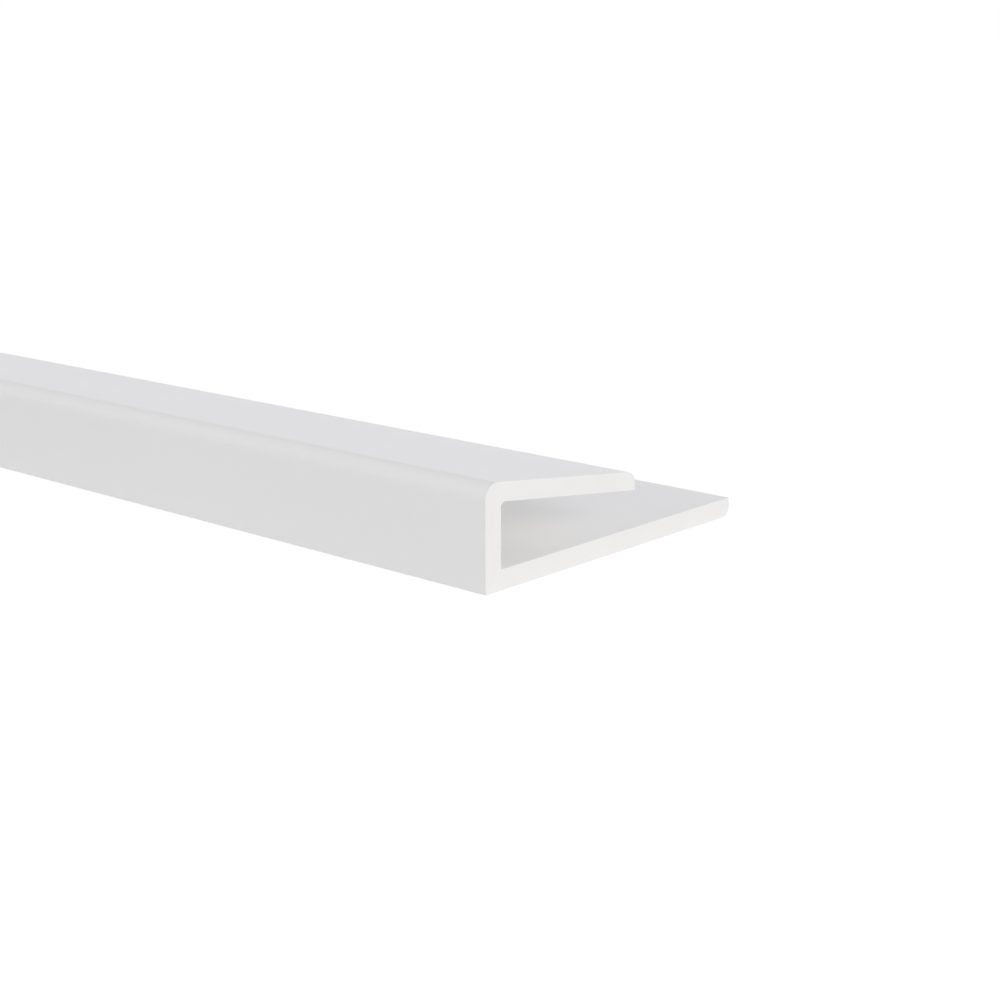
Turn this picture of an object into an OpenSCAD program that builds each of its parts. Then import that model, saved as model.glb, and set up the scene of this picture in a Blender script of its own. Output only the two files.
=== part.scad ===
// Start profile for cladding boards: one extruded length of white rigid PVC.
// The section is a J. A long fixing flange lies flat, an upright web stands on its
// edge, and a shorter lip leans back over the flange so that it grips the edge of a board.
// X runs along the length, Y from the web to the tips of the legs, and Z up from the resting face.

/* [Stock] */
// Length of the stick, from one sawn end to the other
stock_length = 3000; // [500:50:6000]

/* [Outline] */
// Height over everything, from the resting face to the top of the rounded bend
overall_height = 10.3; // [8:0.1:16]
// Width of the fixing flange, from the face of the web to its tip
flange_width = 38.5; // [28:0.5:60]
// Width of the lip, from the face of the web to its tip
lip_width = 22; // [12:0.5:34]
// Clear height of the slot between the tip of the lip and the flange
mouth_gap = 3.8; // [2:0.1:6]

/* [Walls] */
// Thickness of the fixing flange
flange_wall = 2; // [1:0.05:3]
// Thickness of the web
web_wall = 2.1; // [1:0.05:3]
// Thickness of the lip, square to its face
lip_wall = 1.85; // [1:0.05:3]

/* [Corners] */
// Radius outside the bend between the web and the lip
bend_radius = 1.5; // [0.5:0.1:3]
// Radius inside the slot, where the lip leaves the web
slot_radius = 0.5; // [0.2:0.1:1.5]
// Radius of the upper corner of the lip's tip
lip_tip_radius = 1.15; // [0.3:0.05:1.8]
// Radius of the lower corner of the flange's tip
flange_tip_radius = 1.1; // [0.3:0.05:1.9]

/* [Hidden] */
$fn = 96;

// Each corner's sliver is enlarged this many times about the centre of its arc, to run past the faces
sliver_overrun = 1.4;
// Each arc is this much larger than its radius, so that it crosses the faces that it blends
arc_bite = 0.0005;

// Centre of the outer bend, one radius in from the web's face and from the top
bend_centre = [bend_radius, overall_height - bend_radius];

// The lip's faces stay at fixed distances from the bend's centre, and the lower one comes down
// to the mouth at its tip. Both hold at one slope only, which is this one, in degrees.
tip_run = lip_width - bend_centre.x;
tip_drop = bend_centre.y - flange_wall - mouth_gap;
lip_slope = atan2(tip_drop, tip_run) + asin((bend_radius - lip_wall) / norm([tip_run, tip_drop]));

// Height at y of the sloping line that passes the bend's centre at the given distance
function sloping_line(y, distance) =
    bend_centre.y + distance / cos(lip_slope) - (y - bend_centre.x) * tan(lip_slope);
function lip_top(y) = sloping_line(y, bend_radius);
function lip_underside(y) = sloping_line(y, bend_radius - lip_wall);

// The corners of the section, as [y, z], before the round ones are rounded
heel = [0, 0];
flange_tip_low = [flange_width, 0];
flange_tip_high = [flange_width, flange_wall];
slot_floor = [web_wall, flange_wall];
slot_roof = [web_wall, lip_underside(web_wall)];
lip_tip_low = [lip_width, lip_underside(lip_width)];
lip_tip_high = [lip_width, lip_top(lip_width)];
bend = [0, lip_top(0)];

function unit(v) = v / norm(v);

// The area between a sharp corner and the arc that rounds it, and a little past the corner's faces.
// It is cut from an outer corner and added to an inner one. The corner's faces run to a and to b.
module corner_sliver(corner, a, b, radius) {
    to_a = unit(a - corner);
    to_b = unit(b - corner);
    half_angle = acos(to_a * to_b) / 2;
    reach = radius / tan(half_angle);
    centre = corner + unit(to_a + to_b) * radius / sin(half_angle);
    kite = [centre, corner + to_a * reach, corner, corner + to_b * reach];
    difference() {
        polygon([for (point = kite) centre + sliver_overrun * (point - centre)]);
        translate(centre) circle(r = radius + arc_bite);
    }
}

// The section as it leaves the die
module section() {
    difference() {
        union() {
            polygon([
                heel, flange_tip_low, flange_tip_high, slot_floor,
                slot_roof, lip_tip_low, lip_tip_high, bend
            ]);
            corner_sliver(slot_roof, lip_tip_low, slot_floor, slot_radius);
        }
        corner_sliver(bend, lip_tip_high, heel, bend_radius);
        corner_sliver(lip_tip_high, lip_tip_low, bend, min(lip_tip_radius, lip_wall));
        corner_sliver(flange_tip_low, heel, flange_tip_high, min(flange_tip_radius, flange_wall));
    }
}

// The whole stick: the section drawn out along X, centred on the middle of its length and width
module start_profile() {
    color("whitesmoke")
        translate([0, -flange_width / 2, 0])
            rotate([90, 0, 90])
                linear_extrude(height = stock_length, center = true)
                    section();
}

start_profile();
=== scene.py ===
# %% [markdown]
# A start profile is the first strip fixed to a wall before cladding boards go up. This one is
# a length of white rigid PVC, pushed hot through a steel die, cooled, and sawn to length.
# The scene is built in the order in which such a thing is looked at: the viewpoint first, then
# the shape of the stick, then its two finishes (the skin left by the die and the sawn ends),
# and last the floor and the light.

from math import asin, atan2, ceil, cos, degrees, hypot, pi, radians, sin, tan

import bmesh
import bpy
from mathutils import Matrix, Vector


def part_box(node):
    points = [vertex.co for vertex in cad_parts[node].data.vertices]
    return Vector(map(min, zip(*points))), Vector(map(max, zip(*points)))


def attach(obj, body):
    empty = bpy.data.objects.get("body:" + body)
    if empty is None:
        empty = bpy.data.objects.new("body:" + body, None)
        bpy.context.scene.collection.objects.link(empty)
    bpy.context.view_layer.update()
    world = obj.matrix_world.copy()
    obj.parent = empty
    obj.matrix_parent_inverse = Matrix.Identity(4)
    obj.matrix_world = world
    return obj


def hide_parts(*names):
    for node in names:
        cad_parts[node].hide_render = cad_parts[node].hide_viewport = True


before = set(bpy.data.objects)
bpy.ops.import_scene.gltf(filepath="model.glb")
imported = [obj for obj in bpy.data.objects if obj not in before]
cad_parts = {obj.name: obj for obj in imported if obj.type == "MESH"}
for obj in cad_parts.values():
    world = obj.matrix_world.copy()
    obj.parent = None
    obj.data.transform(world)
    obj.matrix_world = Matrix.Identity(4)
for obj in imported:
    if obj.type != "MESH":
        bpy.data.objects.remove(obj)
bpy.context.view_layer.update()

MM = 0.001
low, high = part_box("start_profile")
print("stick, mm:", [round(side / MM, 3) for side in high - low])

# %% [markdown]
# The viewer stands close to one sawn end and a little above it, and looks along the stick
# towards its far end. A long lens from far away would flatten the stick, and a wide one from
# very near would make the end bulge. A short telephoto lens some 16 cm from the end keeps the
# section's true shape while the stick still runs away in clear perspective. The camera is
# placed from the corner nearest to it, so that it would follow the stick if that grew.

# %% Camera
SENSOR_WIDTH = 36.0
LENS = 63.96
NEAREST_SEEN = 10 * MM
FARTHEST_SEEN = 60.0
near_corner = Vector((high.x, low.y, low.z))
camera_from_corner = Vector((103.08, -114.19, 47.51)) * MM
camera_turn = radians(41.595)
camera_tilt = radians(14.077)

gaze = Vector(
    (
        -sin(camera_turn) * cos(camera_tilt),
        cos(camera_turn) * cos(camera_tilt),
        -sin(camera_tilt),
    )
)
camera_data = bpy.data.cameras.new("camera")
camera_data.sensor_width = SENSOR_WIDTH
camera_data.lens = LENS
camera_data.clip_start = NEAREST_SEEN
camera_data.clip_end = FARTHEST_SEEN
camera = bpy.data.objects.new("camera", camera_data)
camera.location = near_corner + camera_from_corner
camera.rotation_mode = "QUATERNION"
camera.rotation_quaternion = gaze.to_track_quat("-Z", "Y")
bpy.context.scene.collection.objects.link(camera)
bpy.context.scene.camera = camera
print("camera, mm from the near corner:", [round(side / MM, 1) for side in camera_from_corner])

# %% [markdown]
# The section is what the die decides, so it is drawn first and once. The long flange and the
# upright web meet at a sharp corner. The lip leaves the web through a rounded bend and leans
# down towards the flange, so that its tip presses on the board. The slope isn't guessed: the
# lip's lower face has to reach the mouth's height at the tip, and only one slope does that.
# Even a sharp corner of a die leaves a hairline round on the plastic, which is what makes
# such an edge glint, so each sharp corner gets a very small radius.

# %% Sizes of the section
flange_width = high.y - low.y
overall_height = high.z - low.z
lip_width = 22 * MM
mouth_gap = 3.8 * MM
flange_wall = 2 * MM
web_wall = 2.1 * MM
lip_wall = 1.85 * MM
bend_radius = 1.5 * MM
slot_radius = 0.5 * MM
lip_tip_radius = 1.15 * MM
flange_tip_radius = 1.1 * MM
die_edge = 0.07 * MM

bend_y = bend_radius
bend_z = overall_height - bend_radius
tip_run = lip_width - bend_y
tip_drop = bend_z - flange_wall - mouth_gap
lip_slope = atan2(tip_drop, tip_run) + asin((bend_radius - lip_wall) / hypot(tip_run, tip_drop))
print("slope of the lip, degrees:", round(degrees(lip_slope), 3))


def lip_height(y, distance):
    """Height at y of the sloping line that passes the bend's centre at this distance."""
    return bend_z + distance / cos(lip_slope) - (y - bend_y) * tan(lip_slope)


def lip_top(y):
    return lip_height(y, bend_radius)


def lip_underside(y):
    return lip_height(y, bend_radius - lip_wall)


# %% [markdown]
# A rounded corner can be made with a bevel modifier or worked out as an arc. The arc is used
# here because it also gives the exact direction in which the surface faces at each point.
# With those directions stored on the mesh, light slides over the bend as smoothly as on the
# real stick, and a dozen or two of faces are enough. Points go round with the plastic on the
# left, so a left turn is an outer corner and a right turn is an inner one.

# %% Outline with rounded corners
def turned_right(v):
    return Vector((v.y, -v.x))


def corner_arc(before, corner, after, radius, steps):
    """Points and outward directions along the arc that rounds one corner of the outline."""
    arriving = (corner - before).normalized()
    leaving = (after - corner).normalized()
    turn = atan2(arriving.x * leaving.y - arriving.y * leaving.x, arriving.dot(leaving))
    side = 1 if turn > 0 else -1
    start = corner - arriving * radius * tan(abs(turn) / 2)
    centre = start - turned_right(arriving) * side * radius
    arc = []
    for step in range(steps + 1):
        spin = Matrix.Rotation(turn * step / steps, 2)
        outward = spin @ turned_right(arriving)
        arc.append((centre + outward * side * radius, outward))
    return arc


def rounded_outline(corners):
    """The whole outline as (point, outward direction), from (y, z, radius, steps) corners."""
    outline = []
    for i, (y, z, radius, steps) in enumerate(corners):
        before = Vector(corners[i - 1][:2])
        after = Vector(corners[(i + 1) % len(corners)][:2])
        outline += corner_arc(before, Vector((y, z)), after, radius, steps)
    return outline


FINE = 20
SMALL = 4
section = rounded_outline(
    [
        (0, 0, die_edge, SMALL),
        (flange_width, 0, flange_tip_radius, FINE),
        (flange_width, flange_wall, die_edge, SMALL),
        (web_wall, flange_wall, die_edge, SMALL),
        (web_wall, lip_underside(web_wall), slot_radius, FINE),
        (lip_width, lip_underside(lip_width), die_edge, SMALL),
        (lip_width, lip_top(lip_width), lip_tip_radius, FINE),
        (0, lip_top(0), bend_radius, FINE),
    ]
)
print("points round the section:", len(section))

# %% [markdown]
# The flat stretches between the corners get points of their own too, about every millimetre.
# A long thin face shades badly and bakes badly, so a patient maker keeps faces compact.

# %% Points along the flats
FLAT_SPACING = 1.2 * MM


def with_flats_divided(outline, spacing):
    """Adds points along every straight stretch that is longer than the spacing."""
    divided = []
    for i, (point, outward) in enumerate(outline):
        divided.append((point, outward))
        following, _ = outline[(i + 1) % len(outline)]
        pieces = ceil((following - point).length / spacing)
        for piece in range(1, pieces):
            divided.append((point.lerp(following, piece / pieces), outward))
    return divided


section = with_flats_divided(section, FLAT_SPACING)
print("points round the section with its flats:", len(section))

# %% [markdown]
# The saw leaves each end square, with an edge that is crisp but never a perfect knife edge.
# The skin is therefore carried round a quarter circle of a few hundredths of a millimetre
# before it meets the flat cut. The cross-sections, called stations here, lie close together
# at the two ends and about 4 cm apart between them.

# %% Stations along the stick
saw_edge = 0.05 * MM
SAW_EDGE_STEPS = 3
STATION_SPACING = 40 * MM


def end_stations(x_end, side):
    """Stations round the eased edge of one end: (x, inset of the outline, tilt of its normals)."""
    stations = []
    for step in range(SAW_EDGE_STEPS + 1):
        angle = pi / 2 * step / SAW_EDGE_STEPS
        x = x_end - side * saw_edge * (1 - sin(angle))
        stations.append((x, saw_edge * (1 - cos(angle)), side * angle))
    return stations


length = high.x - low.x
bays = round(length / STATION_SPACING)
between = [
    (low.x + saw_edge + (length - 2 * saw_edge) * bay / bays, 0, 0) for bay in range(1, bays)
]
stations = end_stations(low.x, -1)[::-1] + between + end_stations(high.x, 1)
print("stations:", len(stations))

# %% [markdown]
# The stick is now a skin of four-sided faces from station to station, closed by one flat face
# at each end. The ends are a second material on the same mesh, because the real stick is one
# piece: the saw only uncovers the same white plastic.

# %% The stick's mesh
SKIN, CUT = 0, 1


def ring_at(x, inset, tilt):
    """Corners and normals of one station."""
    ring = []
    for point, outward in section:
        place = point - outward * inset
        normal = Vector((sin(tilt), outward.x * cos(tilt), outward.y * cos(tilt)))
        ring.append((Vector((x, low.y + place.x, low.z + place.y)), normal))
    return ring


mesh = bpy.data.meshes.new("pvc_stick")
form = bmesh.new()
normals = []
rings = []
for station in stations:
    ring = []
    for place, normal in ring_at(*station):
        ring.append(form.verts.new(place))
        normals.append(normal)
    rings.append(ring)

for ring, following in zip(rings, rings[1:]):
    for i in range(len(ring)):
        j = (i + 1) % len(ring)
        form.faces.new((ring[i], ring[j], following[j], following[i])).material_index = SKIN
form.faces.new(rings[-1]).material_index = CUT
form.faces.new(rings[0][::-1]).material_index = CUT
for face in form.faces:
    face.smooth = True
form.normal_update()
form.to_mesh(mesh)
form.free()
mesh.normals_split_custom_set_from_vertices(normals)
stick = bpy.data.objects.new("pvc_stick", mesh)
bpy.context.scene.collection.objects.link(stick)
print("faces:", len(mesh.polygons), "points:", len(mesh.vertices))

# %% [markdown]
# Both finishes need slow changes over the surface that follow the stick, such as streaks that
# run along it. A noise texture read in the object's own metres, but squeezed along X, gives
# those. Noise keeps mostly to the middle of its range, so its two usual limits are brought to
# whatever limits a finish needs. These helpers wire up a node tree from short calls.

# %% Wiring helpers
NOISE_LOW, NOISE_HIGH = 0.3, 0.7


def node(tree, kind, x, y, **settings):
    made = tree.nodes.new(kind)
    made.location = (x, y)
    for name, value in settings.items():
        setattr(made, name, value)
    return made


def noise(tree, source, x, y, scale, detail):
    made = node(tree, "ShaderNodeTexNoise", x, y)
    made.inputs["Scale"].default_value = scale
    made.inputs["Detail"].default_value = detail
    tree.links.new(source, made.inputs["Vector"])
    return made.outputs["Fac"]


def squeezed(tree, source, x, y, share):
    """Coordinates that advance only by this share along X, so that patterns are drawn out."""
    made = node(tree, "ShaderNodeMapping", x, y)
    made.inputs["Scale"].default_value = (share, 1, 1)
    tree.links.new(source, made.inputs["Vector"])
    return made.outputs["Vector"]


def ranged(tree, source, x, y, lowest, highest):
    """Brings a noise from its usual limits to these ones."""
    made = node(tree, "ShaderNodeMapRange", x, y)
    made.inputs["From Min"].default_value = NOISE_LOW
    made.inputs["From Max"].default_value = NOISE_HIGH
    made.inputs["To Min"].default_value = lowest
    made.inputs["To Max"].default_value = highest
    tree.links.new(source, made.inputs["Value"])
    return made.outputs["Result"]


# %% [markdown]
# The plastic is white right through, because its pigment is mixed in before it is extruded.
# It still isn't one flat colour: the mix clouds a little, paler here and deeper there. Both
# the skin and the sawn ends show it, so it is a node group with named sockets, and each
# material gives it two tones and the size of the clouds.

# %% Node group for the clouding of the plastic
CLOUD_SQUEEZE = 0.25
CLOUD_DETAIL = 4
# A Mix node has sockets for numbers, vectors and colours: these are the ones for colours
MIX_FIRST, MIX_SECOND, MIX_RESULT = 6, 7, 2


def make_clouding_group():
    group = bpy.data.node_groups.new("clouded_plastic", "ShaderNodeTree")
    for name, way, kind in (
        ("Light Tone", "INPUT", "NodeSocketColor"),
        ("Deep Tone", "INPUT", "NodeSocketColor"),
        ("Cloud Scale", "INPUT", "NodeSocketFloat"),
        ("Color", "OUTPUT", "NodeSocketColor"),
    ):
        group.interface.new_socket(name, in_out=way, socket_type=kind)
    given = node(group, "NodeGroupInput", -900, 0)
    coords = node(group, "ShaderNodeTexCoord", -900, -250)
    along = squeezed(group, coords.outputs["Object"], -700, -250, CLOUD_SQUEEZE)
    cloud_noise = node(group, "ShaderNodeTexNoise", -500, -250)
    cloud_noise.inputs["Detail"].default_value = CLOUD_DETAIL
    group.links.new(along, cloud_noise.inputs["Vector"])
    group.links.new(given.outputs["Cloud Scale"], cloud_noise.inputs["Scale"])
    cloud = ranged(group, cloud_noise.outputs["Fac"], -300, -250, 0, 1)
    tint = node(group, "ShaderNodeMix", -80, 0, data_type="RGBA")
    group.links.new(cloud, tint.inputs["Factor"])
    group.links.new(given.outputs["Deep Tone"], tint.inputs[MIX_FIRST])
    group.links.new(given.outputs["Light Tone"], tint.inputs[MIX_SECOND])
    result = node(group, "NodeGroupOutput", 150, 0)
    group.links.new(tint.outputs[MIX_RESULT], result.inputs["Color"])
    return group


clouding = make_clouding_group()
print("group:", clouding.name, [item.name for item in clouding.interface.items_tree])

# %% [markdown]
# The skin and the sawn ends are the same plastic, so they share how their materials start and
# end: a shader with the plastic's gloss and clouded colour, and a relief made of two patterns.
# Only the patterns differ. A glossy surface would mirror the white studio along the flat faces
# and wash them out, so the mirror part of the shader is turned well down, as the chalk in such
# plastic does. The gloss is the same all over, so it is set on the shader and not by nodes.

# %% Helpers for both finishes
PLASTIC_IOR = 1.5
PLASTIC_MIRROR = 0.3


def new_material(name):
    material = bpy.data.materials.new(name)
    material.use_nodes = True
    material.node_tree.nodes.clear()
    return material


def start_plastic(name, light_tone, deep_tone, cloud_scale):
    """A material with its colour and gloss in place, and its shader, for the rest to be added."""
    material = new_material(name)
    tree = material.node_tree
    clouds = node(tree, "ShaderNodeGroup", -300, 250, node_tree=clouding)
    clouds.inputs["Light Tone"].default_value = light_tone
    clouds.inputs["Deep Tone"].default_value = deep_tone
    clouds.inputs["Cloud Scale"].default_value = cloud_scale
    shader = node(tree, "ShaderNodeBsdfPrincipled", 300, 0)
    shader.inputs["IOR"].default_value = PLASTIC_IOR
    shader.inputs["Specular IOR Level"].default_value = PLASTIC_MIRROR
    tree.links.new(clouds.outputs["Color"], shader.inputs["Base Color"])
    output = node(tree, "ShaderNodeOutputMaterial", 600, 0)
    tree.links.new(shader.outputs["BSDF"], output.inputs["Surface"])
    return material, shader


def add_relief(tree, shader, pattern, share, main_pattern, strength, depth):
    """Bump from the main pattern and a share of the other one."""
    relief = node(tree, "ShaderNodeMath", -300, -200, operation="MULTIPLY_ADD")
    tree.links.new(pattern, relief.inputs[0])
    relief.inputs[1].default_value = share
    tree.links.new(main_pattern, relief.inputs[2])
    bump = node(tree, "ShaderNodeBump", 60, -200)
    bump.inputs["Strength"].default_value = strength
    bump.inputs["Distance"].default_value = depth
    tree.links.new(relief.outputs[0], bump.inputs["Height"])
    tree.links.new(bump.outputs["Normal"], shader.inputs["Normal"])


# %% [markdown]
# The skin is nearly matt: the die and the cooling water leave it even, but with hairline draw
# marks along the stick and a very fine orange peel. The marks are noise squeezed almost flat
# along X, and they change the roughness more than the shape. That is why they only show where
# light glances off the plastic.

# %% Material for the extruded skin
skin_light = (0.927, 0.925, 0.921, 1)
skin_deep = (0.913, 0.911, 0.907, 1)
SKIN_CLOUD_SCALE = 45.0
SKIN_ROUGHNESS = (0.78, 0.88)
DRAW_SQUEEZE = 0.002
DRAW_SCALE, DRAW_DETAIL = 1800.0, 3
PEEL_SCALE, PEEL_DETAIL = 900.0, 2
PEEL_SHARE = 0.5
SKIN_BUMP = 0.25
skin_bump_depth = 0.004 * MM


def make_skin():
    material, shader = start_plastic("pvc_skin", skin_light, skin_deep, SKIN_CLOUD_SCALE)
    tree = material.node_tree
    coords = node(tree, "ShaderNodeTexCoord", -1100, 0)
    drawn = squeezed(tree, coords.outputs["Object"], -900, 0, DRAW_SQUEEZE)
    draw_marks = noise(tree, drawn, -700, 0, DRAW_SCALE, DRAW_DETAIL)
    peel = noise(tree, coords.outputs["Object"], -700, -300, PEEL_SCALE, PEEL_DETAIL)
    roughness = ranged(tree, draw_marks, -500, 0, *SKIN_ROUGHNESS)
    tree.links.new(roughness, shader.inputs["Roughness"])
    add_relief(tree, shader, peel, PEEL_SHARE, draw_marks, SKIN_BUMP, skin_bump_depth)
    return material


skin = make_skin()
print("material:", skin.name)

# %% [markdown]
# A circular saw crosses the stick and leaves shallow arcs on the cut, as far apart as its
# teeth advance in one turn. Between them the plastic is torn rather than polished, so the
# cut is more matt than the skin. The arcs are a wave texture in rings, with its centre moved
# to where the blade's arbor was, well below the stick.

# %% Material for the sawn ends
cut_light = (0.931, 0.927, 0.921, 1)
cut_deep = (0.917, 0.913, 0.907, 1)
CUT_CLOUD_SCALE = 160.0
CUT_ROUGHNESS = (0.84, 0.94)
blade_radius = 125 * MM
tooth_advance = 0.45 * MM
# The rings of a wave texture are this far apart at a scale of 1
WAVE_PERIOD = pi / 10
ARC_WOBBLE, ARC_DETAIL = 2.5, 2
ARC_SHARE = 0.4
TEAR_SCALE, TEAR_DETAIL = 6000.0, 3
CUT_BUMP = 0.4
cut_bump_depth = 0.01 * MM


def make_cut():
    material, shader = start_plastic("pvc_cut", cut_light, cut_deep, CUT_CLOUD_SCALE)
    tree = material.node_tree
    coords = node(tree, "ShaderNodeTexCoord", -1100, 0)
    to_arbor = node(tree, "ShaderNodeMapping", -900, 0)
    to_arbor.inputs["Location"].default_value = (0, 0, blade_radius)
    tree.links.new(coords.outputs["Object"], to_arbor.inputs["Vector"])
    arcs = node(tree, "ShaderNodeTexWave", -700, 0, wave_type="RINGS", rings_direction="X")
    arcs.inputs["Scale"].default_value = WAVE_PERIOD / tooth_advance
    arcs.inputs["Distortion"].default_value = ARC_WOBBLE
    arcs.inputs["Detail"].default_value = ARC_DETAIL
    tree.links.new(to_arbor.outputs["Vector"], arcs.inputs["Vector"])
    torn = noise(tree, coords.outputs["Object"], -700, -350, TEAR_SCALE, TEAR_DETAIL)
    roughness = ranged(tree, torn, -500, 0, *CUT_ROUGHNESS)
    tree.links.new(roughness, shader.inputs["Roughness"])
    add_relief(tree, shader, arcs.outputs["Fac"], ARC_SHARE, torn, CUT_BUMP, cut_bump_depth)
    return material


cut = make_cut()
mesh.materials.append(skin)
mesh.materials.append(cut)
print("material:", cut.name)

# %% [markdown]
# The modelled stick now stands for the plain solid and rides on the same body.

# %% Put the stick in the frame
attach(stick, "root")
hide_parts("start_profile")
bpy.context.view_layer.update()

# %% [markdown]
# A white studio has to look white without flooding the stick with light. Light Path tells a
# surface what kind of ray has met it. Rays from the camera, and those that come by way of a
# gloss or through something clear, only look, so they may be shown pure white. All the other
# rays carry light on to the matt plastic, and they meet the real floor and sky. The gloss is
# let in on purpose: what little the plastic mirrors should be the white surroundings that we
# see. The floor and the sky both need this switch, so it is a helper.

# %% Switch between what is seen and what gives light
def is_looked_at(tree, x, y):
    """A mask that is 1 for rays that look and 0 for rays that carry light to matt surfaces."""
    path = node(tree, "ShaderNodeLightPath", x, y)
    either = node(tree, "ShaderNodeMath", x + 200, y, operation="MAXIMUM")
    any_of_three = node(tree, "ShaderNodeMath", x + 400, y, operation="MAXIMUM")
    tree.links.new(path.outputs["Is Camera Ray"], either.inputs[0])
    tree.links.new(path.outputs["Is Glossy Ray"], either.inputs[1])
    tree.links.new(either.outputs[0], any_of_three.inputs[0])
    tree.links.new(path.outputs["Is Transmission Ray"], any_of_three.inputs[1])
    return any_of_three.outputs[0]


def output_switched(tree, output_kind, giver, looks):
    """Sends out one shader for rays that carry light and the other for rays that look."""
    choice = node(tree, "ShaderNodeMixShader", 150, 100)
    tree.links.new(is_looked_at(tree, -600, 300), choice.inputs["Fac"])
    tree.links.new(giver.outputs[0], choice.inputs[1])
    tree.links.new(looks.outputs[0], choice.inputs[2])
    output = node(tree, output_kind, 350, 100)
    tree.links.new(choice.outputs[0], output.inputs["Surface"])


# %% [markdown]
# The floor is pale and plain. Where it is looked at it has to be as white as the empty space
# behind it, and still hold the stick's soft shadow. So that side of it glows with most of its
# white and takes only the rest from the lamps, while light meets an ordinary matt floor.

# %% Floor
FLOOR_SIZE = 40.0
floor_glow = 0.81
floor_reply = 0.29
floor_albedo = (0.8, 0.8, 0.8, 1)


def make_floor_material():
    material = new_material("pale_floor")
    tree = material.node_tree
    matt = node(tree, "ShaderNodeBsdfDiffuse", -300, 100)
    matt.inputs["Color"].default_value = floor_albedo
    glow = node(tree, "ShaderNodeEmission", -300, -50)
    glow.inputs["Strength"].default_value = floor_glow
    reply = node(tree, "ShaderNodeBsdfDiffuse", -300, -200)
    reply.inputs["Color"].default_value = (floor_reply, floor_reply, floor_reply, 1)
    seen = node(tree, "ShaderNodeAddShader", -50, -100)
    tree.links.new(glow.outputs[0], seen.inputs[0])
    tree.links.new(reply.outputs[0], seen.inputs[1])
    output_switched(tree, "ShaderNodeOutputMaterial", matt, seen)
    return material


floor_mesh = bpy.data.meshes.new("floor")
half = FLOOR_SIZE / 2
floor_mesh.from_pydata(
    [(-half, -half, 0), (half, -half, 0), (half, half, 0), (-half, half, 0)], [], [(0, 1, 2, 3)]
)
floor_mesh.materials.append(make_floor_material())
floor = bpy.data.objects.new("floor", floor_mesh)
floor.location.z = low.z
bpy.context.scene.collection.objects.link(floor)
print("floor side, m:", FLOOR_SIZE)

# %% [markdown]
# The stick lies in a plain studio. An even, slightly cool sky reaches every face and does most
# of the work. The camera never sees that sky: where it looks past the stick, it sees white.

# %% Sky
sky_colour = (0.947, 0.957, 1.0, 1)
sky_strength = 0.582
seen_white = (1, 1, 1, 1)

world = bpy.data.worlds.new("studio")
bpy.context.scene.world = world
world.use_nodes = True
world.node_tree.nodes.clear()
sky = node(world.node_tree, "ShaderNodeBackground", -300, 100)
sky.inputs["Color"].default_value = sky_colour
sky.inputs["Strength"].default_value = sky_strength
backdrop = node(world.node_tree, "ShaderNodeBackground", -300, -50)
backdrop.inputs["Color"].default_value = seen_white
output_switched(world.node_tree, "ShaderNodeOutputWorld", sky, backdrop)
print("sky's strength:", sky_strength)

# %% [markdown]
# Three lamps give the stick its form. A broad, slightly warm one on the right makes the sawn
# end the lightest face, and a weak broad one in front lifts the web and the bend. The one
# behind is narrow and stands low. It shines straight into the mouth of the slot and hardly
# touches the lip's top, so the slot stays pale to its full depth. Each lamp is a sun with a
# wide disc. A sun lights all three metres of the stick alike, which a softbox near one end
# couldn't do, and the disc's width keeps the shadows soft.

# %% Lamps
BROAD = radians(40)
NARROW = radians(18)
# Each lamp: name, direction that it shines from (turn from +X, height), width, strength, colour
lamps = [
    ("lamp_right", radians(-17), radians(17), BROAD, 1.14, (1.0, 0.98, 0.9)),
    ("lamp_behind", radians(90), radians(12), NARROW, 1.1, (1.0, 0.97, 1.0)),
    ("lamp_in_front", radians(-110), radians(12), BROAD, 0.39, (1.0, 0.985, 0.93)),
]


def add_lamp(name, turn, height, width, strength, colour):
    """Places one sun, and gives back how much light it puts on level ground."""
    lamp_data = bpy.data.lights.new(name, "SUN")
    lamp_data.energy = strength
    lamp_data.color = colour
    lamp_data.angle = width
    lamp = bpy.data.objects.new(name, lamp_data)
    shines_from = Vector((cos(turn) * cos(height), sin(turn) * cos(height), sin(height)))
    lamp.rotation_mode = "QUATERNION"
    lamp.rotation_quaternion = (-shines_from).to_track_quat("-Z", "Y")
    bpy.context.scene.collection.objects.link(lamp)
    return strength * sin(height)


level = pi * sky_strength + sum(add_lamp(*lamp) for lamp in lamps)
print("light on level ground, as a share of full white:", round(level / pi, 3))

# %% [markdown]
# The Standard view shows colours as they are written, with no film curve that would grey the
# white plastic. Inside the slot, white faces pass light on to each other many times, so more
# bounces are followed than usual. With only a few, the slot would go dark.

# %% Colours and bounces
DIFFUSE_BOUNCES = 16
ALL_BOUNCES = 20
bpy.context.scene.view_settings.view_transform = "Standard"
bpy.context.scene.cycles.diffuse_bounces = DIFFUSE_BOUNCES
bpy.context.scene.cycles.max_bounces = ALL_BOUNCES
print("diffuse bounces:", DIFFUSE_BOUNCES)
